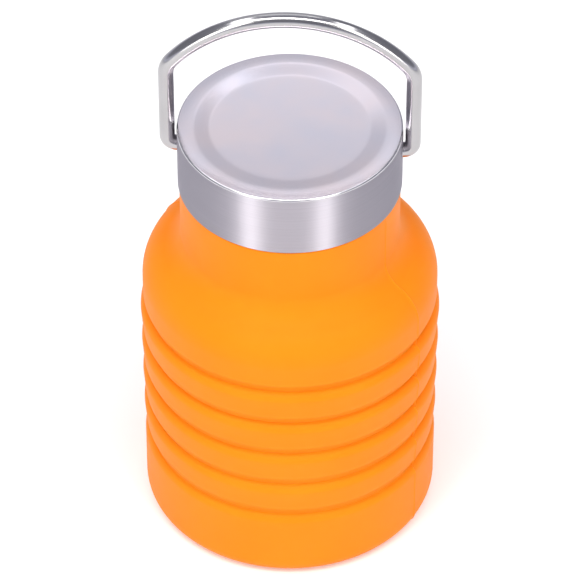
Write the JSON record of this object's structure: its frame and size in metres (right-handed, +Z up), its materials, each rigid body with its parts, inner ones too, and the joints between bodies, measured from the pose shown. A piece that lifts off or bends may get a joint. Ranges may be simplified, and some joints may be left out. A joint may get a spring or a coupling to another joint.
{
  "type": "folding water bottle",
  "caption": "Soft silicone drinking bottle whose ringed body folds down flat, with a screw-on steel cap and a swinging wire carrying handle.",
  "frame": {"origin": "centre of the underside, on the surface the bottle stands on", "axes": "+Z up through the neck and cap; the handle's pivots lie along X"},
  "size_m": [0.079, 0.079, 0.1616],
  "materials": {
    "silicone": "matt orange silicone",
    "collar_plastic": "natural white moulded plastic",
    "gasket_silicone": "milky silicone",
    "liner_plastic": "natural white moulded plastic",
    "brushed_steel": "circular brushed stainless steel",
    "polished_steel": "polished stainless wire"
  },
  "bodies": {
    "base": {"base_cup": "silicone", "fold_1": "silicone"},
    "ring_1": {"ridge_band_1": "silicone", "fold_2": "silicone"},
    "ring_2": {"ridge_band_2": "silicone", "fold_3": "silicone"},
    "ring_3": {"ridge_band_3": "silicone", "fold_4": "silicone"},
    "ring_4": {"ridge_band_4": "silicone", "fold_5": "silicone"},
    "upper": {"shoulder": "silicone", "neck_collar": "collar_plastic"},
    "seal": {"gasket": "gasket_silicone"},
    "cap": {"cap_liner": "liner_plastic", "cap_shell": "brushed_steel"},
    "bail": {"handle": "polished_steel"}
  },
  "joints": [
    {"name": "unfold_1", "type": "slide", "parent": "base", "child": "ring_1", "axis": [0, 0, 1], "range_m": [0, 0.014], "deforming": ["fold_1"]},
    {"name": "unfold_2", "type": "slide", "parent": "ring_1", "child": "ring_2", "axis": [0, 0, 1], "range_m": [0, 0.014], "deforming": ["fold_2"]},
    {"name": "unfold_3", "type": "slide", "parent": "ring_2", "child": "ring_3", "axis": [0, 0, 1], "range_m": [0, 0.014], "deforming": ["fold_3"]},
    {"name": "unfold_4", "type": "slide", "parent": "ring_3", "child": "ring_4", "axis": [0, 0, 1], "range_m": [0, 0.014], "deforming": ["fold_4"]},
    {"name": "unfold_5", "type": "slide", "parent": "ring_4", "child": "upper", "axis": [0, 0, 1], "range_m": [0, 0.014], "deforming": ["fold_5"]},
    {"name": "cap_lift", "type": "slide", "parent": "upper", "child": "seal", "axis": [0, 0, 1], "range_m": [0, 0.016]},
    {"name": "cap_turn", "type": "hinge", "parent": "seal", "child": "cap", "pos_m": [0, 0, 0.1071], "axis": [0, 0, 1], "range_deg": [0, 1440]},
    {"name": "handle_swing", "type": "hinge", "parent": "cap", "child": "bail", "pos_m": [0, 0, 0.1181], "axis": [1, 0, 0], "range_deg": [-130, 130]}
  ],
  "couplings": [
    {"joint": "unfold_2", "follows": "unfold_1", "ratio": 1},
    {"joint": "unfold_3", "follows": "unfold_1", "ratio": 1},
    {"joint": "unfold_4", "follows": "unfold_1", "ratio": 1},
    {"joint": "unfold_5", "follows": "unfold_1", "ratio": 1},
    {"joint": "cap_lift", "follows": "cap_turn", "m_per_rad": 0.00063662}
  ]
}
